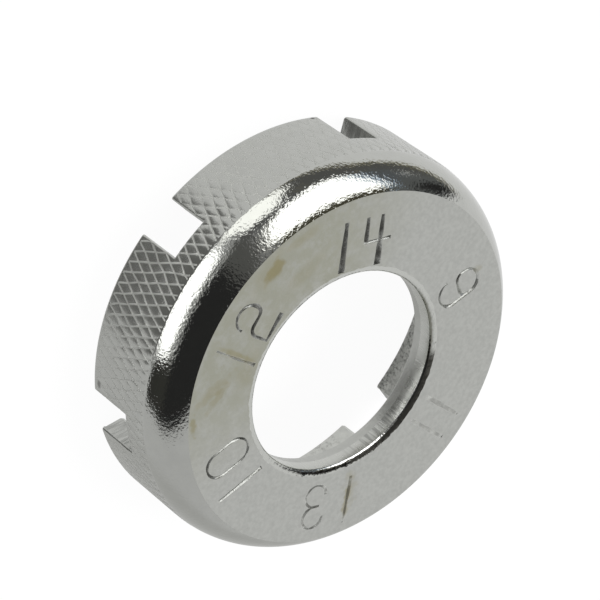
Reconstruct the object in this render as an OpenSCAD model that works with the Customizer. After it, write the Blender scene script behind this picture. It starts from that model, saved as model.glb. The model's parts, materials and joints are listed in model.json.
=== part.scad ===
// Round spoke wrench: one pressed steel cup with six nipple slots in its rim,
// and the size number of each slot stamped on its flat face.
// The rim lies on z = 0 and the numbered face looks up.

/* [Ring] */
// Outside diameter of the skirt
ring_d = 40; // [34:0.5:46]
// Height from the slotted rim to the numbered face
ring_h = 11.55; // [10.5:0.05:14]
// Wall of the skirt
wall_t = 2.35; // [1.6:0.05:2.8]
// Thickness of the numbered plate
plate_t = 2.8; // [1.8:0.05:3.4]
// How far the rounded shoulder reaches in over the face
shoulder_w = 2.3; // [1.5:0.05:3]
// Radius of the rounded shoulder
shoulder_r = 6.3; // [4:0.1:7]
// Radius of the corner inside, between skirt and plate
inside_r = 2; // [0.6:0.1:2.4]
// Wear radius on the outer edge of the rim
rim_r = 0.35; // [0.2:0.05:0.6]

/* [Bore] */
// Diameter of the punched bore
bore_d = 20; // [16:0.5:22]
// How far the punching sits off the ring's axis, along X
bore_off_x = 0.5; // [-0.6:0.05:0.6]
// How far the punching sits off the ring's axis, along Y
bore_off_y = -0.35; // [-0.6:0.05:0.6]
// Edge that the punch rolled over, round the top of the bore
bore_edge = 0.35; // [0.2:0.05:0.6]

/* [Slots] */
// Depth of every slot, up from the rim
slot_h = 5; // [4:0.1:5.6]
// Width of the slot for size 14
slot_14_w = 3.3; // [3:0.05:3.6]
// Width of the slot for size 13
slot_13_w = 3.6; // [3.3:0.05:3.9]
// Width of the slot for size 12
slot_12_w = 3.95; // [3.7:0.05:4.2]
// Width of the slot for size 11
slot_11_w = 4.8; // [4.2:0.05:5]
// Width of the slot for size 10
slot_10_w = 4.45; // [4.2:0.05:5]
// Width of the slot for size 9
slot_9_w = 5.2; // [4.8:0.05:5.6]
// Worn corner of the wall on each side of a slot's mouth
mouth_wear = 0.35; // [0.2:0.05:0.6]

/* [Numbers] */
// Height of a stamped digit
digit_h = 5; // [4:0.1:5.4]
// Width of a stamped digit
digit_w = 3; // [2.6:0.1:3.2]
// Width of a digit's stroke
stroke_w = 0.42; // [0.3:0.02:0.6]
// Depth of the stamping
stamp_t = 0.25; // [0.1:0.05:0.5]
// Step from the middle of a 1 to the middle of the digit beside it
digit_step = 3.7; // [3.3:0.05:4]
// Step between the two bars of the 11
bar_step = 2.6; // [2:0.1:3]

/* [Hidden] */
$fn = 96;
overrun = 1;

// The ring's outline
outer_r = ring_d / 2;
skirt_r = outer_r - wall_t;
face_r = outer_r - shoulder_w;
plate_z = ring_h - plate_t;
shoulder_h = sqrt(pow(shoulder_r, 2) - pow(shoulder_r - shoulder_w, 2));
turn_z = ring_h - shoulder_h;
bore_r = bore_d / 2;

// The numbers stand midway between the bore and the edge of the face
number_r = (face_r + bore_r - bore_edge) / 2;

// Round corners of the digits, as a share of their straight sides, and the steps in a bend
corner_share = 0.8;
bend_steps = 12;
// Width of the 9's tail, as a share of the other strokes
tail_share = 0.9;
// Stroke lines of a digit about its own middle
half_w = (digit_w - stroke_w) / 2;
half_h = (digit_h - stroke_w) / 2;
waist_y = stroke_w / 4;
bowl_r = (half_h - waist_y) / 2;
corner_r = corner_share * (half_h - half_w);

// One row for each slot: its number, its width and the bearing of its middle
SLOTS = [
    ["14", slot_14_w, -148.4],
    ["12", slot_12_w, -90.0],
    ["10", slot_10_w, -32.7],
    ["13", slot_13_w, 24.0],
    ["11", slot_11_w, 85.0],
    ["9", slot_9_w, 148.8]
];
// Bearing of each stamped number, a little past its slot
NUMBER_BEARINGS = [-137.4, -76.8, -18.8, 39.0, 97.2, 158.5];
// How far each number was struck out of line, outwards, as shares of a digit's height
number_shift_shares = [-0.14, 0.02, 0.08, 0.08, 0, -0.12];

// Quarter of a disc about the origin, on the given sides of both axes
module quarter_disc(r, side_x, side_y) {
    intersection() {
        circle(r = r);
        translate([side_x < 0 ? -r : 0, side_y < 0 ? -r : 0]) square(r);
    }
}

// Outline of the cup's outside, filled in to the axis
module outside_section() {
    square([outer_r - rim_r, rim_r]);
    translate([outer_r - rim_r, rim_r]) quarter_disc(rim_r, 1, -1);
    translate([0, rim_r]) square([outer_r, turn_z - rim_r]);
    translate([0, turn_z]) square([outer_r - shoulder_r, shoulder_h]);
    intersection() {
        translate([outer_r - shoulder_r, turn_z]) circle(r = shoulder_r);
        translate([outer_r - shoulder_r, turn_z]) square([shoulder_r, shoulder_h]);
    }
}

// Outline of the hollow under the plate
module hollow_section() {
    translate([0, -overrun]) square([skirt_r, plate_z - inside_r + overrun]);
    translate([0, plate_z - inside_r]) square([skirt_r - inside_r, inside_r]);
    translate([skirt_r - inside_r, plate_z - inside_r]) quarter_disc(inside_r, 1, 1);
}

module cup() {
    rotate_extrude() difference() {
        outside_section();
        hollow_section();
    }
}

// The punched bore, with the edge that rolled over as the punch went in
module bore() {
    translate([bore_off_x, bore_off_y, plate_z - overrun]) {
        cylinder(r = bore_r, h = plate_t + 2 * overrun);
        translate([0, 0, overrun + plate_t - bore_edge])
            cylinder(r1 = bore_r, r2 = bore_r + bore_edge + overrun, h = bore_edge + overrun);
    }
}

// One slot through the skirt, looking along its bearing, with a worn mouth
module slot(w) {
    mouth = mouth_wear + overrun;
    rotate([90, 0, 90])
        translate([0, 0, skirt_r - wall_t])
            linear_extrude(2 * wall_t + overrun)
                polygon([
                    [-w / 2 - mouth, -overrun],
                    [w / 2 + mouth, -overrun],
                    [w / 2, mouth_wear],
                    [w / 2, slot_h],
                    [-w / 2, slot_h],
                    [-w / 2, mouth_wear]
                ]);
}

// Points of an arc about (x, y), in even steps
function arc(x, y, r, from, to) = [
    for (i = [0 : bend_steps])
        let (a = from + (to - from) * i / bend_steps)
        [x + r * cos(a), y + r * sin(a)]
];

function unit(v) = v / norm(v);

// Point beside the path's point i, a distance to its left, with the corner mitred
function beside(path, i, away) =
    let (
        last = len(path) - 1,
        a = max(i, 1),
        b = min(i, last - 1),
        into = unit(path[a] - path[a - 1]),
        heading = unit(into + unit(path[b + 1] - path[b]))
    )
    path[i] + away / (heading * into) * [-heading[1], heading[0]];

// A stroke of even width along a path, square at both ends
module stroke(path, w) {
    last = len(path) - 1;
    polygon(concat(
        [for (i = [0 : last]) beside(path, i, w / 2)],
        [for (i = [last : -1 : 0]) beside(path, i, -w / 2)]
    ));
}

// Outline of a 0, at a distance outside its stroke line
function oval(away) = concat(
    arc(0, half_h - half_w, half_w + away, 180, 0),
    arc(0, half_w - half_h, half_w + away, 0, -180)
);

// Outline of a 9's loop, at a distance outside its stroke line
function loop(away) = concat(
    arc(0, half_h - half_w, half_w + away, 180, 0),
    arc(half_w - corner_r, corner_r, corner_r + away, 0, -90),
    arc(corner_r - half_w, corner_r, corner_r + away, -90, -180)
);

module digit_0() {
    difference() {
        polygon(oval(stroke_w / 2));
        polygon(oval(-stroke_w / 2));
    }
}

module digit_1() {
    stroke([[0, -digit_h / 2], [0, digit_h / 2]], stroke_w);
}

module digit_2() {
    stroke(concat(
        arc(0, half_h - half_w, half_w, 180, 0),
        arc(half_w - corner_r, corner_r, corner_r, 0, -90),
        arc(corner_r - half_w, -corner_r, corner_r, 90, 180),
        [[-half_w, -half_h], [digit_w / 2, -half_h]]
    ), stroke_w);
}

// Upper bowl of a 3, with its half of the waist bar
module bowl(waist_x) {
    stroke(concat(
        arc(half_w - bowl_r, waist_y + bowl_r, bowl_r, 180, -90),
        [[-waist_x, waist_y]]
    ), stroke_w);
}

module digit_3() {
    bowl(stroke_w);
    mirror([0, 1]) bowl(stroke_w / 2);
}

module digit_4() {
    stroke([[-half_w, digit_h / 2], [-half_w, 0], [digit_w / 2, 0]], stroke_w);
    stroke([[half_w / 4, -digit_h / 2], [half_w / 4, digit_h / 2]], stroke_w);
}

module digit_9() {
    difference() {
        polygon(loop(stroke_w / 2));
        polygon(loop(-stroke_w / 2));
    }
    stroke(concat([[half_w, corner_r]], arc(0, half_w - half_h, half_w, 0, -180)), tail_share * stroke_w);
}

module digit(name) {
    if (name == "0") digit_0();
    if (name == "1") digit_1();
    if (name == "2") digit_2();
    if (name == "3") digit_3();
    if (name == "4") digit_4();
    if (name == "9") digit_9();
}

// A whole number, upright about its own middle
module number(name) {
    if (len(name) == 1) {
        digit(name);
    } else if (name == "11") {
        for (side = [-1, 1]) translate([side * bar_step / 2, 0]) digit_1();
    } else {
        left_x = -(digit_step + half_w) / 2;
        translate([left_x, 0]) digit_1();
        translate([left_x + digit_step, 0]) digit(name[1]);
    }
}

// The stamped numbers, their heads turned outwards
module stamps() {
    for (i = [0 : len(SLOTS) - 1]) {
        r = number_r + number_shift_shares[i] * digit_h;
        rotate([0, 0, NUMBER_BEARINGS[i] - 90])
            translate([0, r, ring_h - stamp_t])
                linear_extrude(stamp_t + overrun)
                    number(SLOTS[i][0]);
    }
}

module wrench_ring() {
    color([0.67, 0.68, 0.65]) difference() {
        cup();
        bore();
        for (row = SLOTS) rotate([0, 0, row[2]]) slot(row[1]);
        stamps();
    }
}

wrench_ring();
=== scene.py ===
"""Looks of a round spoke wrench: one pressed, knurled and plated steel ring with stamped size numbers."""

import json
import math

import bmesh
import bpy
from bpy.props import FloatProperty, FloatVectorProperty, IntProperty, PointerProperty
from mathutils import Matrix, Vector, noise


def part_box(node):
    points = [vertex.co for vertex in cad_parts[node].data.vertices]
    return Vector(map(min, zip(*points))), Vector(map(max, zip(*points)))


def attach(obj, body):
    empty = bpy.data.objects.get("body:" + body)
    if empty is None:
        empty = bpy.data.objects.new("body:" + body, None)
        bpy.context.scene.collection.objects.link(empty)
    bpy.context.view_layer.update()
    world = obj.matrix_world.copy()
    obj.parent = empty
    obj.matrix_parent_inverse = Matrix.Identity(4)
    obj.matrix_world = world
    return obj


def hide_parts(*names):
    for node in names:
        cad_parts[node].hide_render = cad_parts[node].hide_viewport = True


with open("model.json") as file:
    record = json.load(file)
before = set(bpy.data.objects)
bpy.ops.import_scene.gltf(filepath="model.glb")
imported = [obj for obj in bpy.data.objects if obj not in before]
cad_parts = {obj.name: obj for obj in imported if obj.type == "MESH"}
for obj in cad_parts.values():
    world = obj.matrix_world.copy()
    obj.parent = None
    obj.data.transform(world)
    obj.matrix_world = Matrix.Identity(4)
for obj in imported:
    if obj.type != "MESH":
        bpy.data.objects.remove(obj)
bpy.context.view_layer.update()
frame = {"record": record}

bl_info = {
    "name": "Spoke wrench",
    "version": (1, 0, 0),
    "blender": (4, 5, 0),
    "location": "3D View > Sidebar > Spoke wrench",
    "description": "Models a round spoke wrench with its knurl, slots and stamped numbers",
    "category": "Add Mesh",
}

# The mesh is modelled in millimetres and brought to metres when it is finished
MM = 0.001
NODE = "wrench_ring"

RING_LOW, RING_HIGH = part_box(NODE)
OUTER_R = (RING_HIGH.x - RING_LOW.x) / 2 / MM
HEIGHT = RING_HIGH.z / MM
BORE = {mount["name"]: mount for mount in frame["record"]["mounts"]}["bore"]

# Each slot's number, its width in mm and the bearing of its middle in degrees
SLOTS = (
    ("14", 3.3, -148.4),
    ("12", 3.95, -90.0),
    ("10", 4.45, -32.7),
    ("13", 3.6, 24.0),
    ("11", 4.8, 85.0),
    ("9", 5.2, 148.8),
)
# Each stamped number, the bearing of its middle and how far it was struck outwards, in mm. Then how wide its strokes
# are, how much wider towards its right end and its head, and how deep they are, as shares
STAMPS = (
    ("14", -137.4, -0.7, 1.25, 0.0, -0.3, 1.0),
    ("12", -76.8, 0.1, 0.72, 0.12, -0.15, 0.8),
    ("10", -18.8, 0.4, 0.68, -0.1, 0.0, 1.2),
    ("13", 39.0, 0.4, 0.65, -0.1, 0.0, 0.4),
    ("11", 97.2, 0.0, 0.8, 0.0, 0.0, 0.2),
    ("9", 158.5, -0.6, 0.75, 0.5, 0.1, 1.1),
)
# Distances in mm: the gap along the skirt that joins the knurled band to the rest of the ring, how near a cut's points
# lie to it, and what counts as no distance
JOIN = 0.05
TOUCH = JOIN / 5
HAIR = 0.001
# Faces along the bends of the ring's section, and rows of them down its inside wall
EDGE_STEPS, RIM_STEPS, SHOULDER_STEPS, CORNER_STEPS = 3, 5, 28, 10
INSIDE_ROWS = 9
# Points along a digit's straight bar, its tight corners, its round ends and the bowls of a 3
BAR_STEPS, TIGHT_STEPS, END_STEPS, BOWL_STEPS = 8, 7, 14, 18
# Tight corners of a digit, as a share of its straight sides
CORNER_SHARE = 0.8
# Section of a punch in half strokes, across and up: a V with its lips spread, under a square back
BLADE = ((0, -1), (0.75, -0.2), (1.1, 0), (1.1, 0.6), (-1.1, 0.6), (-1.1, 0), (-0.75, -0.2))
# Section of the edge that the punch rolled over round the bore, as shares of its width and height
BORE_ROLL = ((1, 1), (0.92, 0.97), (0.6, 0.8), (0.3, 0.62), (0.2, 0.5), (0.1, 0.3), (0.03, 0.12), (0, 0))
# Angles in degrees that share out a rolled edge, and the steepest bend that is shaded smooth
ROLL_ANGLES = (0, 25, 45, 65, 90)
SHARP_ANGLE = 28
# Uneven places: waves per mm and the share that they change, of a stroke's width and depth and of a rolled edge
STROKE_WAVES, STROKE_UNEVEN = 1.6, 0.35
DEPTH_WAVES, DEPTH_UNEVEN = 1.2, 0.9
EDGE_UNEVEN = 0.08
# The bore's rolled edge has long waves and short ones, which are weaker
BORE_WAVES, BORE_RIPPLES, RIPPLE_SHARE, BORE_UNEVEN = 1.4, 3, 0.8, 0.16
# The knurl is worn in long waves and short ones, and its cuts stray in waves of their own
WORN_WAVES, WORN_RIPPLES, WORN_RIPPLE_SHARE, STRAY_WAVES = 0.5, 2.2, 0.7, 0.9
# Wear of the knurl: height in mm that is worn most, height over which it gets less, and the least share left
WORN_FOOT, WORN_FADE, WORN_LEAST = 0.5, 3.5, 0.25
# Height in mm over which the knurl runs out at its top, and the share left there
RUN_OUT, RUN_OUT_LEAST = 0.8, 0.2
# Degrees from its middle at which the rubbed side ends, degrees over which it fades, and the share rubbed off
RUBBED_END, RUBBED_FADE, RUBBED_SHARE = 42, 16, 0.7
# Shares of the skirt's radius, and of its wall, past which a face is on a slot's side, and on the outside
SIDE_SHARE, SKIN_SHARE = 0.75, 0.6
# Reach of the strips beside a slot, in times the radius of its edge
STRIPS_REACH = 3
# Material slots of the ring's mesh
FACE, SHOULDER, ROLLED, KNURL, GROOVE, INSIDE, SHEARED, BORED, TORN, STRUCK = range(10)


def length(label, about, default):
    """A size in millimetres, shown with its name and tooltip."""
    return FloatProperty(name=label, description=about, default=default)


def colour(label, about, default):
    """A colour that the user can change."""
    return FloatVectorProperty(name=label, description=about, default=default, subtype="COLOR", size=4, min=0, max=1)


class RingSizes(bpy.types.PropertyGroup):
    """Sizes of the ring and its slots."""

    outer_r: length("Outside radius", "Radius of the skirt, in mm", OUTER_R)
    height: length("Height", "From the rim to the numbered face, in mm", HEIGHT)
    wall: length("Wall", "Thickness of the skirt, in mm", 2.35)
    plate: length("Plate", "Thickness of the numbered plate, in mm", 2.8)
    shoulder_w: length("Shoulder width", "How far the shoulder reaches in over the face, in mm", 2.3)
    shoulder_r: length("Shoulder radius", "Radius of the rounded shoulder, in mm", 6.3)
    inside_r: length("Inside corner", "Radius between skirt and plate inside, in mm", 2.0)
    rim_r: length("Rim edge", "Radius worn on the rim's outer edge, in mm", 0.35)
    inner_edge: length("Inner edges", "Radius worn on the edges inside, in mm", 0.25)
    bore_r: length("Bore radius", "Radius of the punched bore, in mm", BORE["dims"]["r_mm"])
    bore_x: length("Bore across", "How far the bore sits off the axis along X, in mm", BORE["pos_m"][0] / MM)
    bore_y: length("Bore along", "How far the bore sits off the axis along Y, in mm", BORE["pos_m"][1] / MM)
    bore_edge: length("Bore edge", "Height of the edge that the punch rolled over, in mm", 0.35)
    bore_roll: length("Bore roll", "Width of the edge that the punch rolled over, in mm", 0.6)
    bore_clean: length("Sheared part", "Height of the bore that the punch cut cleanly, in mm", 1.3)
    bore_taper: length("Torn part", "How far the rest of the bore tore outwards, in mm", 0.08)
    slot_depth: length("Slot depth", "Height of each slot above the rim, in mm", 5.0)
    slot_edge: length("Slot edge", "Radius rolled over on a slot's outer edges, in mm", 0.2)
    steps: IntProperty(name="Steps", description="Faces round the ring", default=480, min=36)


class KnurlSizes(bpy.types.PropertyGroup):
    """Sizes of the knurl on the skirt."""

    count: IntProperty(name="Diamonds", description="Diamonds in one row round the skirt", default=120, min=12)
    tall: length("Diamond height", "Height of one diamond, in mm", 2.28)
    groove: length("Groove", "Width of one groove's side, in mm", 0.085)
    depth: length("Groove depth", "Depth of the grooves, in mm", 0.03)
    low: length("Foot", "Where the knurl starts above the rim, in mm", 0.4)
    high: length("Top", "Where the knurl ends above the rim, in mm", 7.7)
    stray: length("Stray", "How far the cuts stray from their lines, in mm", 0.12)
    rubbed: FloatProperty(name="Rubbed side", description="Bearing of the side that is rubbed smooth", default=-145)


class StampSizes(bpy.types.PropertyGroup):
    """Sizes of the stamped numbers."""

    digit_h: length("Digit height", "Height of a stamped digit, in mm", 5.0)
    digit_w: length("Digit width", "Width of a stamped digit, in mm", 3.0)
    stroke: length("Stroke", "Width of a stroke, in mm", 0.42)
    depth: length("Depth", "Depth of a stroke, in mm", 0.25)
    step: length("Step", "From the middle of a 1 to the next digit, in mm", 3.7)
    bar_step: length("Bar step", "Between the two bars of the 11, in mm", 2.6)


class PlatingLook(bpy.types.PropertyGroup):
    """Colours of the ring."""

    plating: colour("Plating", "Colour of the clean plating", (0.505, 0.512, 0.486, 1))
    stain: colour("Stain", "Colour of the stains on the face", (0.24, 0.213, 0.11, 1))
    film: colour("Film", "Colour of the yellowed film on the face", (0.312, 0.314, 0.262, 1))
    # Soot in the strokes and smudges; this colour is also the painted dark reflection round the bore
    soot_and_dark_reflection: colour("Soot", "Colour of the dirt in the stamped strokes", (0.05, 0.048, 0.04, 1))


class StudioLook(bpy.types.PropertyGroup):
    """The floor that the ring stands on."""

    floor_w: FloatProperty(name="Floor", description="Width of the floor", default=2.0, unit="LENGTH")
    floor: colour("Floor colour", "Colour of the floor", (0.9, 0.9, 0.9, 1))


def link(obj):
    """Puts a new object in the scene."""
    bpy.context.scene.collection.objects.link(obj)
    return obj


def arc(x, y, r, start, end, steps):
    """Points of an arc from one angle to another, in degrees."""
    angles = [math.radians(start + (end - start) * i / steps) for i in range(steps + 1)]
    return [(x + r * math.cos(a), y + r * math.sin(a)) for a in angles]


def fall(r, along):
    """How far a rounded edge of radius r has fallen where it lies a distance along from its end."""
    rest = max(r - max(along, 0), 0)
    return r - math.sqrt(r * r - rest * rest)


def bearing_from(co, bearing):
    """Degrees between a point's bearing and another one."""
    return abs((math.degrees(math.atan2(co.y, co.x)) - bearing + 180) % 360 - 180)


def turn_height(s):
    """Height at which the skirt turns into the shoulder."""
    return s.height - math.sqrt(s.shoulder_r**2 - (s.shoulder_r - s.shoulder_w) ** 2)


def ring_section(s, knurl):
    """Radius and height of the points round the ring's section, up the outside and down the inside."""
    inner = s.outer_r - s.wall
    under = s.height - s.plate
    edge = s.inner_edge
    corner_z = under - s.inside_r
    turn_z = turn_height(s)
    top_angle = math.degrees(math.acos(1 - s.shoulder_w / s.shoulder_r))
    knurl_angle = math.degrees(math.asin((knurl.high + JOIN - turn_z) / s.shoulder_r))
    rows = [corner_z - (corner_z - edge) * i / INSIDE_ROWS for i in range(1, INSIDE_ROWS)]
    rim_r = s.rim_r - JOIN
    return [
        *arc(inner + edge, edge, edge, 180, 270, EDGE_STEPS),
        *arc(s.outer_r - rim_r, rim_r, rim_r, -90, 0, RIM_STEPS),
        *arc(s.outer_r - s.shoulder_r, turn_z, s.shoulder_r, knurl_angle, top_angle, SHOULDER_STEPS),
        *[(s.bore_r + s.bore_roll * x, s.height - s.bore_edge * (1 - y)) for x, y in BORE_ROLL],
        (s.bore_r, s.height - s.bore_edge - s.bore_clean),
        *arc(s.bore_r + s.bore_taper + edge, under + edge, edge, 180, 270, EDGE_STEPS),
        *arc(inner - s.inside_r, corner_z, s.inside_r, 90, 0, CORNER_STEPS),
        *[(inner, z) for z in rows],
    ]


def blank(s, knurl):
    """The ring without knurl, slots or numbers, spun from its section."""
    bm = bmesh.new()
    verts = [bm.verts.new((r, 0, z)) for r, z in ring_section(s, knurl)]
    for a, b in zip(verts, verts[1:] + verts[:1]):
        bm.edges.new((a, b))
    bmesh.ops.spin(
        bm,
        geom=bm.verts[:] + bm.edges[:],
        cent=(0, 0, 0),
        axis=(0, 0, 1),
        angle=math.tau,
        steps=s.steps,
        use_merge=True,
    )
    bmesh.ops.recalc_face_normals(bm, faces=bm.faces[:])
    middle = (s.bore_r + s.outer_r - s.wall - s.inside_r) / 2
    bored = [v for v in bm.verts if v.co.xy.length < middle]
    for v in bored:
        r = v.co.xy.length
        if v.co.z > s.height - s.bore_edge - HAIR:
            uneven = noise.noise(v.co * BORE_WAVES) + RIPPLE_SHARE * noise.noise(v.co * BORE_RIPPLES)
            v.co.xy *= 1 + BORE_UNEVEN * uneven * (r - s.bore_r) / r
    bmesh.ops.translate(bm, verts=bored, vec=(s.bore_x, s.bore_y, 0))
    return bm


def digit_paths(digit, d):
    """Stroke lines of one digit about its own middle, as (points, closed, share of the width)."""
    half_w = (d.digit_w - d.stroke) / 2
    half_h = (d.digit_h - d.stroke) / 2
    right = d.digit_w / 2
    head = d.digit_h / 2
    straight = half_h - half_w
    corner = CORNER_SHARE * straight
    bowl = half_h / 2
    top = arc(0, straight, half_w, 180, 0, END_STEPS)
    foot = arc(0, -straight, half_w, 0, -180, END_STEPS)
    bar = [head - d.digit_h * i / BAR_STEPS for i in range(BAR_STEPS + 1)]
    right_corner = arc(half_w - corner, corner, corner, 0, -90, TIGHT_STEPS)
    shapes = {
        "0": [(top + foot, True, 1)],
        "1": [([(0, y) for y in bar], False, 1)],
        "2": [
            (
                top
                + right_corner
                + arc(corner - half_w, -corner, corner, 90, 180, TIGHT_STEPS)
                + [(-half_w, -half_h), (0, -half_h), (right, -half_h)],
                False,
                1,
            )
        ],
        "3": [
            (arc(half_w - bowl, bowl, bowl, 180, -90, BOWL_STEPS) + [(-d.stroke, 0)], False, 1),
            (arc(half_w - bowl, -bowl, bowl, 180, 450, BOWL_STEPS) + [(-d.stroke / 2, 0)], False, 1),
        ],
        "4": [
            ([(-half_w, head - head * i / 4) for i in range(5)], False, 0.9),
            ([(right * (i - 2) / 2, 0) for i in range(5)], False, 0.6),
            ([(half_w / 4, y) for y in bar], False, 1),
        ],
        "9": [
            (top + right_corner + arc(corner - half_w, corner, corner, -90, -180, TIGHT_STEPS), True, 1),
            ([(half_w, corner)] + foot, False, 0.9),
        ],
    }
    return shapes[digit]


def number_digits(number, d):
    """Each digit of a number with the place of its middle along the number."""
    if len(number) == 1:
        return [(number, 0)]
    if number == "11":
        return [("1", -d.bar_step / 2), ("1", d.bar_step / 2)]
    left = -(d.step + (d.digit_w - d.stroke) / 2) / 2
    return [("1", left), (number[1], left + d.step)]


def blade(d):
    """The section that is drawn along every stroke of the numbers."""
    line = bpy.data.curves.new("blade", "CURVE")
    spline = line.splines.new("POLY")
    spline.points.add(len(BLADE) - 1)
    for point, (across, up) in zip(spline.points, BLADE):
        point.co = (across * d.stroke / 2, up * d.depth, 0, 1)
    spline.use_cyclic_u = True
    return link(bpy.data.objects.new("blade", line))


def punches(s, d):
    """Bars with a sharp foot along every stroke of the numbers, which cut V grooves into the face."""
    lines = bpy.data.curves.new("punches", "CURVE")
    lines.dimensions = "3D"
    lines.twist_mode = "Z_UP"
    lines.bevel_mode = "OBJECT"
    lines.bevel_object = blade(d)
    lines.use_fill_caps = True
    number_r = (s.outer_r - s.shoulder_w + s.bore_r - s.bore_edge) / 2
    for number, bearing, shift, wide, lean_x, lean_y, _ in STAMPS:
        turn = Matrix.Rotation(math.radians(bearing - 90), 4, "Z")
        place = turn @ Matrix.Translation((0, number_r + shift, s.height))
        for digit, x in number_digits(number, d):
            for points, closed, share in digit_paths(digit, d):
                spline = lines.splines.new("POLY")
                spline.points.add(len(points) - 1)
                for point, (px, py) in zip(spline.points, points):
                    spot = place @ Vector((x + px, py, 0))
                    uneven = noise.noise(spot * STROKE_WAVES) * STROKE_UNEVEN
                    leaning = lean_x * (x + px) / d.digit_w + lean_y * 2 * py / d.digit_h
                    point.co = (*spot, 1)
                    point.radius = share * (wide + leaning + uneven)
                spline.use_cyclic_u = closed
    solid = bpy.data.objects.new("punches", lines)
    link(solid)
    mesh = bpy.data.meshes.new_from_object(solid.evaluated_get(bpy.context.evaluated_depsgraph_get()))
    bpy.data.objects.remove(solid)
    bpy.data.objects.remove(lines.bevel_object)
    bm = bmesh.new()
    bm.from_mesh(mesh)
    bmesh.ops.remove_doubles(bm, verts=bm.verts[:], dist=HAIR)
    for v in bm.verts:
        *_, deep = min(STAMPS, key=lambda row: bearing_from(v.co, row[1]))
        uneven = 1 + DEPTH_UNEVEN * noise.noise(v.co * DEPTH_WAVES)
        v.co.z = s.height + (v.co.z - s.height) * deep * uneven
    bmesh.ops.recalc_face_normals(bm, faces=bm.faces[:])
    for face in bm.faces:
        face.material_index = STRUCK
    return bm


def stamp(bm, punch_bm):
    """Cuts the punches out of the ring, and gives the strokes their own material slot."""
    ring, punch = [link(bpy.data.objects.new(name, bpy.data.meshes.new(name))) for name in ("blank", "punch")]
    for obj, source in ((ring, bm), (punch, punch_bm)):
        source.to_mesh(obj.data)
        source.free()
        for slot in range(STRUCK + 1):
            obj.data.materials.append(None)
    cut = ring.modifiers.new("cut", "BOOLEAN")
    cut.operation = "DIFFERENCE"
    cut.solver = "EXACT"
    cut.use_self = True
    cut.object = punch
    mesh = bpy.data.meshes.new_from_object(ring.evaluated_get(bpy.context.evaluated_depsgraph_get()))
    bpy.data.objects.remove(ring)
    bpy.data.objects.remove(punch)
    stamped = bmesh.new()
    stamped.from_mesh(mesh)
    return stamped


def one_diamond(s, k):
    """One raised diamond of the knurl, at the foot of the skirt."""
    floor_r = s.outer_r - k.depth
    half_w = floor_r * math.tan(math.pi / k.count)
    bm = bmesh.new()
    bmesh.ops.create_circle(bm, cap_ends=True, segments=4, radius=1)
    upright = Matrix(((0, 0, 1, floor_r), (half_w, 0, 0, 0), (0, k.tall / 2, 0, k.low), (0, 0, 0, 1)))
    bmesh.ops.transform(bm, matrix=upright, verts=bm.verts[:])
    sides = bmesh.ops.inset_individual(bm, faces=bm.faces[:], thickness=k.groove, depth=k.depth, use_even_offset=True)
    for face in bm.faces:
        face.material_index = GROOVE if face in sides["faces"] else KNURL
    return bm


def fall_over_shoulder(s, z):
    """How far the shoulder has fallen in at a height above the rim."""
    above = max(z - turn_height(s), 0)
    return s.shoulder_r - math.sqrt(s.shoulder_r**2 - above**2)


def depth_left(s, k, co):
    """Share of the knurl's depth that wear has left at a point."""
    uneven = noise.noise(co * WORN_WAVES) + WORN_RIPPLE_SHARE * noise.noise(co * WORN_RIPPLES)
    up_the_skirt = max((co.z - WORN_FOOT) / WORN_FADE + uneven, WORN_LEAST)
    under_the_shoulder = (k.high - co.z) / RUN_OUT + RUN_OUT_LEAST
    rubbed = min(max((RUBBED_END - bearing_from(co, k.rubbed)) / RUBBED_FADE, 0), 1) * RUBBED_SHARE
    return min(up_the_skirt, under_the_shoulder, 1) * (1 - rubbed)


def knurled_band(s, k):
    """The band of raised diamonds round the skirt: one diamond, copied up the skirt and round it, and then worn."""
    bm = one_diamond(s, k)
    first = bm.verts[:] + bm.edges[:] + bm.faces[:]
    rows = math.ceil((k.high - k.low) / (k.tall / 2)) + 1
    for row in range(1, rows):
        copied = bmesh.ops.duplicate(bm, geom=first)["geom"]
        verts = [v for v in copied if isinstance(v, bmesh.types.BMVert)]
        turn = Matrix.Rotation(row % 2 * math.pi / k.count, 4, "Z")
        bmesh.ops.transform(bm, matrix=Matrix.Translation((0, 0, row * k.tall / 2)) @ turn, verts=verts)
    bmesh.ops.spin(
        bm,
        geom=bm.verts[:] + bm.edges[:] + bm.faces[:],
        cent=(0, 0, 0),
        axis=(0, 0, 1),
        angle=math.tau * (k.count - 1) / k.count,
        steps=k.count - 1,
        use_duplicate=True,
    )
    bmesh.ops.remove_doubles(bm, verts=bm.verts[:], dist=k.groove / 4)
    for v in bm.verts:
        raised = v.co.xy.length > s.outer_r - k.depth / 2
        v.co += noise.noise_vector(v.co * STRAY_WAVES) * k.stray
        r = s.outer_r if raised else s.outer_r - k.depth * depth_left(s, k, v.co)
        r -= fall_over_shoulder(s, v.co.z)
        v.co.xy *= r / v.co.xy.length
    for z, side in ((k.low, -1), (k.high, 1)):
        geom = bm.verts[:] + bm.edges[:] + bm.faces[:]
        bmesh.ops.bisect_plane(bm, geom=geom, dist=HAIR, plane_co=(0, 0, z), plane_no=(0, 0, side), clear_outer=True)
    return bm


def fit_band(bm, band, s, k):
    """Takes out the ring's plain skirt and bridges the knurled band into its place."""
    plain = [
        f
        for f in bm.faces
        if f.calc_center_median().xy.length > s.outer_r - s.rim_r
        and max(v.co.z for v in f.verts) - min(v.co.z for v in f.verts) > k.tall
    ]
    bmesh.ops.delete(bm, geom=plain, context="FACES")
    mesh = bpy.data.meshes.new("band")
    band.to_mesh(mesh)
    band.free()
    bm.from_mesh(mesh)
    open_edges = [e for e in bm.edges if e.is_boundary]
    for low in (True, False):
        pair = [e for e in open_edges if (e.verts[0].co.z < k.tall) == low]
        bridged = bmesh.ops.bridge_loops(bm, edges=pair)
        for face in bridged["faces"]:
            face.material_index = KNURL


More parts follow.
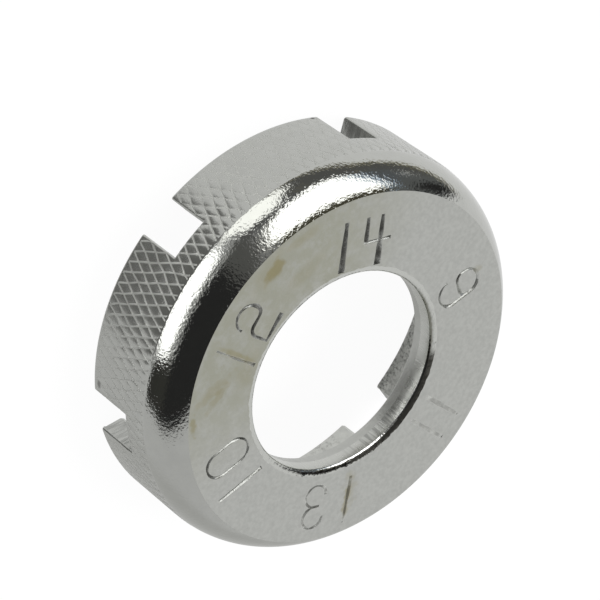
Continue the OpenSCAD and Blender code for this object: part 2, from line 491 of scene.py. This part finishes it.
def cut_plane(bm, faces, co, no):
    """Cuts only these faces along a plane."""
    geom = list(dict.fromkeys(item for f in faces for item in (f, *f.edges, *f.verts)))
    bmesh.ops.bisect_plane(bm, geom=geom, dist=HAIR, plane_co=co, plane_no=no)


def slot_ways(bearing):
    """Directions out through a slot and across it."""
    angle = math.radians(bearing)
    out = Vector((math.cos(angle), math.sin(angle), 0))
    return out, Vector((-out.y, out.x, 0))


def near_slot(bm, ways, reach, ceiling, r_min):
    """Faces within a reach of a slot's middle, below a ceiling and at least so far out."""
    out, across = ways
    chosen = []
    for f in bm.faces:
        c = f.calc_center_median()
        if c.dot(out) > r_min and abs(c.dot(across)) < reach and c.z < ceiling:
            chosen.append(f)
    return chosen


def score_slot(bm, s, width, ways):
    """Cuts the skirt's faces along a slot's edges, and along the strips beside them that get rolled over."""
    across = ways[1]
    inner = s.outer_r - s.wall
    through = SIDE_SHARE * inner
    skin = inner + SKIN_SHARE * s.wall
    strips = STRIPS_REACH * s.slot_edge
    reach = width / 2 + strips + s.wall
    top = s.slot_depth + strips
    rolls = [s.slot_edge * (1 - math.cos(math.radians(a))) for a in ROLL_ANGLES]
    for side in (-1, 1):
        cut_plane(bm, near_slot(bm, ways, reach, top + s.wall, through), across * side * width / 2, across * side)
        for roll in rolls[1:]:
            outer = near_slot(bm, ways, reach, top, skin)
            cut_plane(bm, outer, across * side * (width / 2 + roll), across * side)
    for roll in rolls:
        faces = near_slot(bm, ways, reach, top + s.wall, through if roll == 0 else skin)
        cut_plane(bm, faces, Vector((0, 0, s.slot_depth + roll)), Vector((0, 0, 1)))


def open_slot(bm, s, width, ways):
    """Takes the skirt's faces out between a slot's edges."""
    inner = s.outer_r - s.wall
    inside = [
        f
        for f in near_slot(bm, ways, width / 2, s.slot_depth, SIDE_SHARE * inner)
        if f.calc_center_median().xy.length > inner - s.inner_edge
    ]
    bmesh.ops.delete(bm, geom=inside, context="FACES")


def wall_slot(bm, s, width, across):
    """Closes an open slot with its two walls and its ceiling."""
    middle = s.outer_r - s.wall + s.wall / 2
    rim = [e for e in bm.edges if e.is_boundary]
    corners = {}
    for e in rim:
        for v in e.verts:
            x = v.co.dot(across)
            if abs(v.co.z - s.slot_depth) < TOUCH and abs(abs(x) - width / 2) < TOUCH:
                corners[(x > 0, v.co.xy.length > middle)] = v
    sills = [bm.edges.new((corners[(side, False)], corners[(side, True)])) for side in (False, True)]
    for side, sill in zip((-1, 1), sills):
        wall = []
        for e in rim:
            beside = all(abs(v.co.dot(across) * side - width / 2) < TOUCH for v in e.verts)
            if beside and all(v.co.z < s.slot_depth + TOUCH for v in e.verts):
                wall.append(e)
        bmesh.ops.edgeloop_fill(bm, edges=wall + [sill], mat_nr=SHEARED)
    ceiling = [e for e in rim if all(abs(v.co.z - s.slot_depth) < TOUCH for v in e.verts)]
    bmesh.ops.edgeloop_fill(bm, edges=ceiling + sills, mat_nr=SHEARED)


def cut_slot(bm, s, width, bearing):
    """Cuts one slot through the skirt and walls it in."""
    ways = slot_ways(bearing)
    score_slot(bm, s, width, ways)
    open_slot(bm, s, width, ways)
    wall_slot(bm, s, width, ways[1])


def from_slot(s, co):
    """The way from the nearest slot's middle to a point's side, and the point's distances beside that slot and from
    its edges."""
    _, width, bearing = max(SLOTS, key=lambda slot: co.dot(slot_ways(slot[-1])[0]))
    across = slot_ways(bearing)[1]
    x = co.dot(across)
    beside = max(abs(x) - width / 2, 0)
    above = max(co.z - s.slot_depth, 0)
    return across * math.copysign(1, x), beside, math.hypot(beside, above)


def roll_edges(bm, s):
    """Rolls the slots' outer edges over and wears their mouths."""
    skin = s.outer_r - s.rim_r - JOIN
    inner = s.outer_r - s.wall
    for v in bm.verts:
        r = v.co.xy.length
        if r < inner - JOIN or v.co.z > s.slot_depth + s.slot_edge:
            continue
        side, beside, gap = from_slot(s, v.co)
        if gap > s.slot_edge:
            continue
        wear = s.slot_edge * (1 + EDGE_UNEVEN * noise.noise(v.co))
        if r > skin:
            v.co.xy *= (r - fall(wear, gap * wear / s.slot_edge)) / r
        elif r < inner + s.inner_edge and gap < s.inner_edge:
            v.co.xy *= (r + fall(s.inner_edge, gap)) / r
        if v.co.z < wear and beside < s.slot_edge:
            v.co += side * fall(wear, v.co.z) * (1 - beside / (2 * s.slot_edge))


def assign_finishes(bm, s, k):
    """Sorts the faces into the ring's finishes by where they lie."""
    for face in bm.faces:
        c = face.calc_center_median()
        if face.material_index == GROOVE and from_slot(s, c)[2] < s.slot_edge:
            face.material_index = KNURL
        if face.material_index in (STRUCK, KNURL, GROOVE, SHEARED):
            continue
        r = c.xy.length
        if c.z > s.height - HAIR and r < s.outer_r - s.shoulder_w + HAIR:
            face.material_index = FACE
        elif r > s.outer_r - s.shoulder_w and c.z > k.high - JOIN:
            face.material_index = SHOULDER
        elif r > s.outer_r - s.rim_r:
            face.material_index = KNURL
        elif r < s.bore_r + s.bore_roll + s.bore_x and c.z > s.height - s.bore_edge:
            face.material_index = ROLLED
        elif r < s.bore_r + s.bore_roll + s.bore_x and c.z > s.height - s.plate:
            face.material_index = BORED if c.z > s.height - s.bore_edge - s.bore_clean else TORN
        else:
            face.material_index = INSIDE


class Nodes:
    """Short calls for building a material or world out of nodes."""

    def __init__(self, tree):
        self.tree = tree
        self.tree.nodes.clear()

    def fill(self, socket, value):
        """Links a socket to another one, or sets its value."""
        if isinstance(value, bpy.types.NodeSocket):
            self.tree.links.new(value, socket)
        else:
            socket.default_value = value

    def add(self, kind, inputs=None, **values):
        node = self.tree.nodes.new(kind)
        for name, value in values.items():
            setattr(node, name, value)
        for name, value in (inputs or {}).items():
            self.fill(node.inputs[name], value)
        return node

    def vector(self, operation, *values):
        return self.add("ShaderNodeVectorMath", dict(enumerate(values)), operation=operation).outputs[0]

    def math(self, operation, *values):
        return self.add("ShaderNodeMath", dict(enumerate(values)), operation=operation).outputs[0]

    def parts(self, vector):
        return self.add("ShaderNodeSeparateXYZ", {0: vector}).outputs

    def bearing(self, parts):
        """Bearing in degrees of a place or direction, from its parts."""
        return self.math("DEGREES", self.math("ARCTAN2", parts["Y"], parts["X"]))

    def smooth(self, value, low, high, to_low=0.0, to_high=1.0):
        """A smooth step from to_low to to_high, as the value goes from low to high."""
        inputs = {0: value, 1: low, 2: high, 3: to_low, 4: to_high}
        return self.add("ShaderNodeMapRange", inputs, interpolation_type="SMOOTHSTEP").outputs[0]

    def near(self, place, bearing, full, gone, strength):
        """A strength that holds within full degrees of a bearing and is gone further off."""
        off = self.math("ABSOLUTE", self.math("SUBTRACT", self.bearing(self.parts(place)), bearing))
        return self.smooth(off, full, gone, strength, 0.0)

    def mix(self, factor, a, b):
        node = self.add("ShaderNodeMix", data_type="RGBA")
        for name, value in (("Factor", factor), ("A", a), ("B", b)):
            self.fill([i for i in node.inputs if i.name == name and i.enabled][0], value)
        return [o for o in node.outputs if o.enabled][0]

    def noise(self, vector, scale, detail=2.0, roughness=0.5):
        inputs = {"Vector": vector, "Scale": scale, "Detail": detail, "Roughness": roughness}
        return self.add("ShaderNodeTexNoise", inputs).outputs["Fac"]

    def bump(self, height, distance, normal=None):
        inputs = {"Height": height, "Strength": 1.0, "Distance": distance}
        if normal is not None:
            inputs["Normal"] = normal
        return self.add("ShaderNodeBump", inputs).outputs["Normal"]


def shaded(colour, share):
    """A colour made darker or lighter."""
    return (*[c * share for c in colour[:3]], 1)


# How much a grain is drawn out along the ring's axis, as a share of its evenness
UPRIGHT_SHARE = 0.05


def even(n, place):
    """Grain that runs no way in particular."""
    return place


def upright(n, place):
    """Grain drawn out along the ring's axis."""
    return n.vector("MULTIPLY", place, (1, 1, UPRIGHT_SHARE))


def radial(n, place):
    """Grain drawn out from the ring's axis outwards."""
    level = n.vector("NORMALIZE", n.vector("MULTIPLY", place, (1, 1, 0)))
    round_ring = n.vector("MULTIPLY", level, (OUTER_R * MM, OUTER_R * MM, 0))
    return n.vector("ADD", round_ring, n.vector("MULTIPLY", place, (0, 0, 1)))


# Range that most of a noise lies in
NOISE_RANGE = (0.3, 0.7)
# Noise per metre: slow changes in roughness, their share, and the waves in the plating
DULLING, DULLING_SHARE, WAVES = 1500, 0.1, 900
# Heights in metres of the fine bumps and of the waves, at a grain of 1
BUMP_M, WAVE_M = 0.00003, 0.000015
# Height in mm over which a polished finish gets smooth, and the share of its roughness that stays
POLISH_FADE, POLISH_SHARE = 1.4, 0.4


def plated(name, rough, grain, paint, fine=5200, lay=even, polished=0, matt=0):
    """A plated finish: its roughness, the grain in its surface with its fineness and lay and, from paint, its colour.
    A polished one turns as smooth as the shoulder within that height, in mm, above the rim. The matt share is dull."""
    material = bpy.data.materials.new(name)
    material.use_nodes = True
    n = Nodes(material.node_tree)
    place = n.add("ShaderNodeTexCoord").outputs["Object"]
    drawn = lay(n, place)
    least, most = rough * (1 - DULLING_SHARE), rough * (1 + DULLING_SHARE)
    roughness = n.smooth(n.noise(drawn, DULLING, 3), *NOISE_RANGE, least, most)
    if polished:
        height = n.parts(place)["Z"]
        left = n.smooth(height, (polished - POLISH_FADE) * MM, polished * MM, 1.0, POLISH_SHARE)
        roughness = n.math("MULTIPLY", roughness, left)
    bumps = n.bump(n.noise(drawn, fine, 2), grain * BUMP_M)
    waves = n.bump(n.noise(drawn, WAVES, 2), grain * WAVE_M, bumps)
    shader = n.add(
        "ShaderNodeBsdfPrincipled",
        {"Base Color": paint(n, place, drawn), "Roughness": roughness, "Metallic": 1.0 - matt, "Normal": waves},
    )
    n.add("ShaderNodeOutputMaterial", {"Surface": shader.outputs[0]})
    return material


# Noise per metre that makes a stain ragged, and the distances, in times its half size, between which its edge fades
RAGGED = 1400
STAIN_EDGE = (0.35, 1.1)


def spot(n, place, at, size, turn, ragged):
    """Mask of a soft-edged stain centred at a bearing, a radius and a height, with its half sizes in mm."""
    bearing, r, z = at
    angle = math.radians(bearing)
    centre = (r * MM * math.cos(angle), r * MM * math.sin(angle), z * MM)
    scale = [c * MM for c in size]
    placed = {"Vector": place, "Location": centre, "Rotation": (0, 0, math.radians(turn)), "Scale": scale}
    local = n.add("ShaderNodeMapping", placed, vector_type="TEXTURE").outputs[0]
    away = n.add("ShaderNodeVectorMath", {0: local}, operation="LENGTH").outputs["Value"]
    uneven = n.math("MULTIPLY_ADD", n.math("SUBTRACT", n.noise(place, RAGGED, 3), 0.5), ragged, away)
    return n.smooth(uneven, *STAIN_EDGE, 1.0, 0.0)


# Stains on the face, grime in the strokes and smudges on the skirt: bearing, radius and height of the middle, half
# sizes in mm, turn in degrees, raggedness and strength
STAINS = (
    ((-98.9, 16.0, HEIGHT), (1.7, 0.85, 1), 9, 1.4, 0.8),
    ((-97, 16.4, HEIGHT), (2.8, 1.5, 1), 9, 1.6, 0.2),
    ((-112, 16.6, HEIGHT), (2.2, 0.7, 1), -20, 1.6, 0.3),
    ((-107, 13.2, HEIGHT), (3.0, 1.0, 1), -10, 1.8, 0.2),
    ((-67.6, 14.0, HEIGHT), (2.8, 0.4, 1), 103, 1.6, 0.55),
    ((-54, 15.4, HEIGHT), (3.0, 0.7, 1), -13, 2.2, 0.35),
    ((-51.4, 14.8, HEIGHT), (2.3, 0.5, 1), 4, 2.2, 0.35),
    # This stain, by the shoulder's edge, is partly a stain and partly painted shade along the crease
    ((-43.1, 17.2, HEIGHT), (1.4, 0.45, 1), 55, 2.0, 0.6),
    ((-62, 12.2, HEIGHT), (2.6, 1.2, 1), 20, 2.0, 0.2),
    ((49, 14.2, HEIGHT), (2.6, 0.4, 1), 39, 1.8, 0.6),
    ((50.5, 13.2, HEIGHT), (2.4, 0.9, 1), 50, 2.0, 0.22),
    ((160, 15.6, HEIGHT), (0.6, 0.5, 1), 0, 1.4, 0.25),
)
GRIME = (
    ((-126.5, 13.2, HEIGHT), (3.2, 0.7, 1), -137.4, 1.5, 0.7),
    ((-137, 14.2, HEIGHT), (1.5, 0.5, 1), -137.4, 1.2, 0.7),
    ((-143.4, 14.6, HEIGHT), (1.3, 0.5, 1), -137.4, 1.2, 0.7),
    ((-145, 11.6, HEIGHT), (1.3, 0.5, 1), -137.4, 1.2, 0.7),
    ((-81.8, 13.8, HEIGHT), (3.2, 2.2, 1), -76.8, 1.6, 0.8),
    ((49, 14.3, HEIGHT), (2.8, 0.8, 1), 39, 1.4, 0.6),
    ((34.1, 14.1, HEIGHT), (3.0, 1.8, 1), 39, 2.0, 0.7),
    ((162.5, 13.4, HEIGHT), (0.7, 0.6, 1), 158, 1.2, 0.8),
    ((97.2, 13.7, HEIGHT), (3.4, 2.8, 1), 97.2, 1.6, 0.38),
    ((-23, 16.5, HEIGHT), (0.7, 1.6, 1), -19, 1.4, 0.6),
    ((-28, 12.2, HEIGHT), (0.6, 0.6, 1), 0, 1.2, 0.8),
)
SMUDGES = (
    ((-141.5, 20, 0.4), (0.3, 0.3, 0.25), 0, 0.8, 0.9),
    ((-42, 20, 0.9), (0.5, 0.5, 0.35), 0, 0.8, 0.6),
)


# Marks that lie round a bearing: the bearing, the degrees off it that they fill, those that they end at, and their
# strength. They are the cloudy film on the face, then round the bore a line painted as a dark reflection, painted
# shade past that line's end, a painted highlight under the line, and the streaks down the wall
FILM = (-88.0, 30.0, 78.0, 1.0)
DARK_REFLECTION = (73.0, 51.0, 60.0, 0.95)
SHADE = (148.0, 17.0, 32.0, 0.7)
LIP_HIGHLIGHT = (75.0, 32.0, 40.0, 0.8)
STREAKS = (80.0, 10.0, 34.0, 0.55)
# Share of the film that is left where it is thin
FILM_THIN = 0.45
# The painted dark reflection round the bore, in mm: how far it lies below the face and wavers, the softness of its
# edge, and half its width at both its ends, with the bearings of those ends
DARK_REFLECTION_DOWN, DARK_REFLECTION_WAVER, DARK_REFLECTION_SOFT = 0.09, 0.14, 0.015
DARK_REFLECTION_HALF, DARK_REFLECTION_ENDS = (0.035, 0.11), (20.0, 110.0)
# Depths in mm at which the painted shade and the painted highlight under the line are full, from where they start
SHADE_DOWN, LIP_HIGHLIGHT_DOWN = (0.0, 0.1), (0.02, 0.05)
# Colours of the painted shade and of the painted highlight
SHADE_COLOUR, LIP_HIGHLIGHT_COLOUR = (0.12, 0.12, 0.08, 1), (0.95, 0.95, 0.95, 1)
# Heights in mm, and bearings, between which the specks inside get weaker and stronger
SPECKS_UP, SPECKS_TURN = (0.5, 3.2), (70.0, 95.0)
# Lightness of the streaks and of the specks, as shares of the clean plating's
STREAKS_LIGHT, SPECKS_LIGHT = 0.35, 0.4


def finishes(look):
    """The ring's finishes, in the order of its material slots."""
    clean = tuple(look.plating)
    # Soot in the strokes and smudges, also used for the painted dark reflection round the bore
    soot_and_dark_reflection = tuple(look.soot_and_dark_reflection)

    def mottled(depth, size=900, share=1):
        """Plating of an uneven lightness."""

        def paint(n, place, drawn):
            light = shaded(clean, share)
            return n.mix(n.smooth(n.noise(drawn, size, 5, 0.6), *NOISE_RANGE), shaded(light, 1 - depth), light)

        return paint

    def stained(n, place, base, stains, paint):
        """A finish with the stains of a table painted on it."""
        for at, size, turn, ragged, strength in stains:
            base = n.mix(n.math("MULTIPLY", spot(n, place, at, size, turn, ragged), strength), base, tuple(paint))
        return base

    def face(n, place, drawn):
        """Dull plating, with a cloudy film round the 12 and the stains."""
        base = mottled(0.12, 2400, 0.82)(n, place, drawn)
        clouds = n.smooth(n.noise(place, 700, 5, 0.7), 0.3, 0.6, FILM_THIN, 1.0)
        base = n.mix(n.math("MULTIPLY", n.near(place, *FILM), clouds), base, tuple(look.film))
        return stained(n, place, base, STAINS, look.stain)

    def skirt(n, place, drawn):
        """The knurl's diamonds, with smudges at two corners of the rim."""
        return stained(n, place, mottled(0.06)(n, place, drawn), SMUDGES, soot_and_dark_reflection)

    def grooves_painted_light(n, place, drawn):
        """The knurl's lines, painted a little brighter than its diamonds as painted light."""
        return stained(n, place, shaded(clean, 1.02), SMUDGES, soot_and_dark_reflection)

    def rolled(n, place, drawn):
        """The bore's rolled edge with painted light: a dark line of reflection, shade and a highlight on its lip."""
        parts = n.parts(place)
        # A dark line painted along the rolled edge, wider at some bearings: a painted dark reflection
        waver = n.math("MULTIPLY", n.math("SUBTRACT", n.noise(place, 3200, 3, 0.6), 0.5), DARK_REFLECTION_WAVER * MM)
        down = n.math("SUBTRACT", (HEIGHT - DARK_REFLECTION_DOWN) * MM, n.math("ADD", parts["Z"], waver))
        half = n.smooth(n.bearing(parts), *DARK_REFLECTION_ENDS, *[size * MM for size in DARK_REFLECTION_HALF])
        past = n.math("SUBTRACT", n.math("ABSOLUTE", down), half)
        line = n.smooth(past, -DARK_REFLECTION_SOFT * MM, DARK_REFLECTION_SOFT * MM, 1.0, 0.0)
        line = n.math("MULTIPLY", line, n.near(place, *DARK_REFLECTION))
        # Painted shade past the end of that line
        shade = n.smooth(down, *[depth * MM for depth in SHADE_DOWN])
        shade = n.math("MULTIPLY", shade, n.near(place, *SHADE))
        # A painted highlight just under the line
        lip_highlight = n.smooth(n.math("SUBTRACT", down, half), *[depth * MM for depth in LIP_HIGHLIGHT_DOWN])
        lip_highlight = n.math("MULTIPLY", lip_highlight, n.near(place, *LIP_HIGHLIGHT))
        return n.mix(line, n.mix(lip_highlight, n.mix(shade, clean, SHADE_COLOUR), LIP_HIGHLIGHT_COLOUR), soot_and_dark_reflection)

    def streaked(n, place, drawn):
        """The bore's cut wall, with dark streaks along the punch's way."""
        streaks = n.math("MULTIPLY", n.near(place, *STREAKS), n.smooth(n.noise(drawn, 3400, 3), 0.45, 0.6))
        return n.mix(streaks, shaded(clean, 1.12), shaded(clean, STREAKS_LIGHT))

    def inside(n, place, drawn):
        """The inside, painted lighter as painted light, with patches of dark specks towards the rim."""
        parts = n.parts(place)
        low = n.smooth(parts["Z"], *[up * MM for up in SPECKS_UP], 1.0, 0.0)
        patchy = n.math("MULTIPLY", low, n.smooth(n.noise(place, 350, 2), 0.38, 0.52))
        specks = n.math("MULTIPLY", patchy, n.smooth(n.noise(place, 3600, 4, 0.7), 0.46, 0.62))
        specks = n.math("MULTIPLY", specks, n.smooth(n.bearing(parts), *SPECKS_TURN, 0.5, 0.9))
        # The plating inside is painted 1.2 times as light as the clean plating: painted light
        return n.mix(specks, mottled(0.12, share=1.2)(n, place, drawn), shaded(clean, SPECKS_LIGHT))

    def dirty(n, place, drawn):
        """The stamped strokes, with the face's stains and their own grime."""
        base = stained(n, place, mottled(0.3)(n, place, drawn), STAINS, look.stain)
        return stained(n, place, base, GRIME, soot_and_dark_reflection)

    return [
        plated("plated_face", 0.34, 0.3, face, matt=0.2),
        plated("plated_shoulder", 0.06, 0.72, mottled(0.04), fine=3800),
        plated("rolled_edge", 0.1, 0.9, rolled, fine=3800),
        plated("plated_knurl", 0.22, 0.4, skirt, polished=7.7),
        plated("knurl_grooves", 0.42, 0.4, grooves_painted_light),
        plated("plated_inside", 0.34, 0.5, inside),
        plated("sheared_walls", 0.24, 0.8, mottled(0.4, 3000), lay=radial),
        plated("sheared_bore", 0.28, 0.6, streaked, lay=upright),
        plated("torn_walls", 0.36, 0.8, mottled(0.06)),
        plated("struck_strokes", 0.22, 0.6, dirty, matt=0.25),
    ]


class WRENCH_OT_ring(bpy.types.Operator):
    """Press, stamp, knurl and slot the ring"""

    bl_idname = "spoke_wrench.ring"
    bl_label = "Ring"

    def execute(self, context):
        s = context.scene.wrench_ring
        k = context.scene.wrench_knurl
        bm = stamp(blank(s, k), punches(s, context.scene.wrench_stamps))
        fit_band(bm, knurled_band(s, k), s, k)
        for _, width, bearing in SLOTS:
            cut_slot(bm, s, width, bearing)
        assign_finishes(bm, s, k)
        roll_edges(bm, s)
        bmesh.ops.recalc_face_normals(bm, faces=bm.faces[:])
        bmesh.ops.scale(bm, vec=(MM, MM, MM), verts=bm.verts[:])
        mesh = bpy.data.meshes.new("plated_ring")
        for material in finishes(context.scene.wrench_plating):
            mesh.materials.append(material)
        bm.to_mesh(mesh)
        bm.free()
        mesh.shade_smooth()
        mesh.set_sharp_from_angle(angle=math.radians(SHARP_ANGLE))
        for face in mesh.polygons:
            face.use_smooth = face.material_index != FACE
        ring = link(bpy.data.objects.new("plated_ring", mesh))
        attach(ring, "root")
        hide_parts(NODE)
        return {"FINISHED"}


# Cards and lamps that the plating mirrors, later ones over earlier ones: the bearing and the height of the middle
# and the half sizes in degrees, how much the middle climbs per degree of bearing, the softness of the edge as a
# share, and the colour, where 1 is white
SURROUNDINGS = (
    ("back_wall", (95, 38), (45, 40), 0.0, 0.3, (0.94, 0.94, 0.94)),
    ("grey_ceiling", (0, 180), (95, 28), 0.0, 0.08, (0.35, 0.35, 0.35)),
    ("shaded_side", (55, 30), (-34, 26), 0.0, 0.4, (0.58, 0.58, 0.57)),
    ("shaded_foot", (-69, 35), (-42, 20), 0.0, 0.25, (0.2, 0.2, 0.195)),
    ("dark_gable", (143, 16), (44, 20), 0.0, 0.25, (0.08, 0.08, 0.08)),
    ("dark_shelf", (-152, 58), (45, 22), 0.25, 0.1, (0.09, 0.085, 0.06)),
    ("dark_room", (-63, 57), (23, 39), 0.0, 0.06, (0.03, 0.03, 0.03)),
    ("room_corner", (-112, 12), (25, 30), 0.0, 0.5, (0.34, 0.34, 0.34)),
    ("room_shade", (-101, 8), (27, 32), 0.0, 0.5, (0.13, 0.13, 0.125)),
    ("low_room", (-128, 22), (-7, 20), 0.0, 0.15, (0.14, 0.14, 0.14)),
    ("room_glow", (-67, 24), (-8, 13), 0.0, 0.6, (0.6, 0.6, 0.59)),
    ("wall_strip", (-97, 8), (-11, 11), 0.0, 0.4, (0.45, 0.45, 0.45)),
    ("dark_right", (-27, 13), (-8, 15), -0.3, 0.12, (0.05, 0.05, 0.045)),
    ("warm_rim", (-154, 37), (19.7, 19.2), 0.35, 0.06, (0.8, 0.74, 0.55)),
    ("side_softbox", (-154, 36), (19.1, 18.8), 0.35, 0.06, (2.4, 2.4, 2.4)),
    ("cool_edge", (-184, 28), (11.5, 8), -0.72, 0.2, (0.6, 0.75, 0.95)),
    ("door_edge", (-186, 30), (7, 10), -0.72, 0.1, (0.14, 0.15, 0.16)),
    ("olive_skirting", (-181, 38), (-6.5, 6.5), 0.0, 0.12, (0.32, 0.29, 0.17)),
    ("olive_slope", (-153, 18.5), (-13, 11.5), -0.45, 0.12, (0.28, 0.25, 0.16)),
    ("low_band", (-181, 37.5), (-5, 5.5), 0.0, 0.12, (0.13, 0.13, 0.125)),
    ("dark_band", (-152, 17), (-12, 10), -0.45, 0.12, (0.13, 0.13, 0.125)),
    ("dark_door", (-204, 12), (13, 16), 0.7, 0.12, (0.15, 0.155, 0.155)),
    ("door_core", (-210, 8), (7, 6), 1.0, 0.3, (0.03, 0.03, 0.03)),
    ("low_left_light", (-120, 12), (-11, 13), 0.0, 0.15, (1.9, 1.9, 1.85)),
    ("low_left_sill", (-119, 18.5), (-16.5, 6), 0.0, 0.2, (1.9, 1.9, 1.85)),
    ("low_light", (-68, 27), (-11.5, 13.5), 0.0, 0.08, (2.4, 2.4, 2.4)),
)
# How bright the rest is, how much it changes towards +X, and the power that rounds the corners of the cards
SURROUND, SURROUND_LEAN = 0.8, -0.13
ROUND_POWER = 4.0
# Share of the floor that is as white as the background where it is seen
FLOOR_WHITE = 0.95
WHITE = (1, 1, 1, 1)
# Size and power of the softbox that lights the floor, and its place in metres
LAMP_SIZE, LAMP_POWER, LAMP_AT = 0.25, 1.5, (-0.15, 0.15, 0.45)
# The camera's place in metres, and the directions right, down and ahead in its picture
CAMERA_AT = (0.007656, -0.203632, 0.189077)
RIGHT = Vector((-0.6168540, 0.5166352, 0.5937837))
DOWN = Vector((0.7862348, 0.4393701, 0.4344983))
AHEAD = Vector((-0.0364137, 0.7348754, -0.6772238))


class WRENCH_OT_studio(bpy.types.Operator):
    """Set up the floor, the light and the camera"""

    bl_idname = "spoke_wrench.studio"
    bl_label = "Studio"

    def execute(self, context):
        look = context.scene.wrench_studio
        self.floor(look)
        self.world(context.scene)
        self.lamp()
        self.camera(context.scene)
        return {"FINISHED"}

    def floor(self, look):
        bm = bmesh.new()
        bmesh.ops.create_grid(bm, x_segments=1, y_segments=1, size=look.floor_w / 2)
        mesh = bpy.data.meshes.new("floor")
        bm.to_mesh(mesh)
        bm.free()
        floor = link(bpy.data.objects.new("floor", mesh))
        material = bpy.data.materials.new("pale_floor")
        material.use_nodes = True
        n = Nodes(material.node_tree)
        ray = n.add("ShaderNodeLightPath").outputs
        mirrored = n.math("MAXIMUM", ray["Is Glossy Ray"], ray["Is Transmission Ray"])
        seen = n.math("MAXIMUM", ray["Is Camera Ray"], mirrored)
        matt = n.add("ShaderNodeBsdfDiffuse", {"Color": tuple(look.floor)})
        white = n.add("ShaderNodeEmission", {"Color": WHITE, "Strength": 1.0})
        share = n.math("MULTIPLY", seen, FLOOR_WHITE)
        both = n.add("ShaderNodeMixShader", {0: share, 1: matt.outputs[0], 2: white.outputs[0]})
        n.add("ShaderNodeOutputMaterial", {"Surface": both.outputs[0]})
        mesh.materials.append(material)
        floor.visible_glossy = False

    def world(self, scene):
        world = bpy.data.worlds.new("studio")
        world.use_nodes = True
        scene.world = world
        n = Nodes(world.node_tree)
        way = n.parts(n.add("ShaderNodeTexCoord").outputs["Generated"])
        bearing = n.bearing(way)
        height = n.math("DEGREES", n.math("ARCSINE", way["Z"]))
        rest = n.math("MULTIPLY_ADD", way["X"], SURROUND_LEAN, SURROUND)
        light = n.add("ShaderNodeCombineColor", {0: rest, 1: rest, 2: rest}).outputs[0]
        for _, (middle, half_w), (middle_h, half_h), climb, edge, shade in SURROUNDINGS:
            off = n.math("WRAP", n.math("SUBTRACT", bearing, middle), 180.0, -180.0)
            up = n.math("SUBTRACT", n.math("SUBTRACT", height, middle_h), n.math("MULTIPLY", off, climb))
            across, along = [
                n.math("POWER", n.math("ABSOLUTE", n.math("DIVIDE", away, half)), ROUND_POWER)
                for away, half in ((off, half_w), (up, half_h))
            ]
            within, without = (1 - edge) ** ROUND_POWER, (1 + edge) ** ROUND_POWER
            light = n.mix(n.smooth(n.math("ADD", across, along), within, without, 1.0, 0.0), light, (*shade, 1))
        ray = n.add("ShaderNodeLightPath").outputs
        seen = n.mix(ray["Is Glossy Ray"], WHITE, light)
        sky = n.add("ShaderNodeBackground", {"Color": seen, "Strength": 1.0})
        n.add("ShaderNodeOutputWorld", {"Surface": sky.outputs[0]})

    def lamp(self):
        light = bpy.data.lights.new("softbox", "AREA")
        light.shape = "DISK"
        light.size = LAMP_SIZE
        light.energy = LAMP_POWER
        lamp = link(bpy.data.objects.new("softbox", light))
        lamp.location = LAMP_AT
        lamp.rotation_mode = "QUATERNION"
        lamp.rotation_quaternion = lamp.location.to_track_quat("Z", "Y")
        lamp.visible_glossy = False

    def camera(self, scene):
        camera = link(bpy.data.objects.new("camera", bpy.data.cameras.new("camera")))
        camera.data.lens = 180
        camera.data.sensor_width = 36
        camera.data.clip_start = 0.01
        camera.data.clip_end = 10
        camera.matrix_world = Matrix.Translation(CAMERA_AT) @ Matrix((RIGHT, -DOWN, -AHEAD)).transposed().to_4x4()
        scene.camera = camera
        scene.view_settings.view_transform = "Standard"


class WRENCH_PT_panel(bpy.types.Panel):
    """Lists the wrench's pieces"""

    bl_idname = "WRENCH_PT_panel"
    bl_label = "Spoke wrench"
    bl_space_type = "VIEW_3D"
    bl_region_type = "UI"
    bl_category = "Spoke wrench"

    def draw(self, context):
        for operator in OPERATORS:
            self.layout.operator(operator.bl_idname)


GROUPS = {
    "wrench_ring": RingSizes,
    "wrench_knurl": KnurlSizes,
    "wrench_stamps": StampSizes,
    "wrench_plating": PlatingLook,
    "wrench_studio": StudioLook,
}
OPERATORS = (WRENCH_OT_ring, WRENCH_OT_studio)
CLASSES = (*GROUPS.values(), *OPERATORS, WRENCH_PT_panel)


def register():
    for cls in CLASSES:
        bpy.utils.register_class(cls)
    for name, group in GROUPS.items():
        setattr(bpy.types.Scene, name, PointerProperty(type=group))


def unregister():
    for name in GROUPS:
        delattr(bpy.types.Scene, name)
    for cls in reversed(CLASSES):
        bpy.utils.unregister_class(cls)


def main():
    register()
    bpy.ops.spoke_wrench.ring()
    bpy.ops.spoke_wrench.studio()


if __name__ == "__main__":
    main()
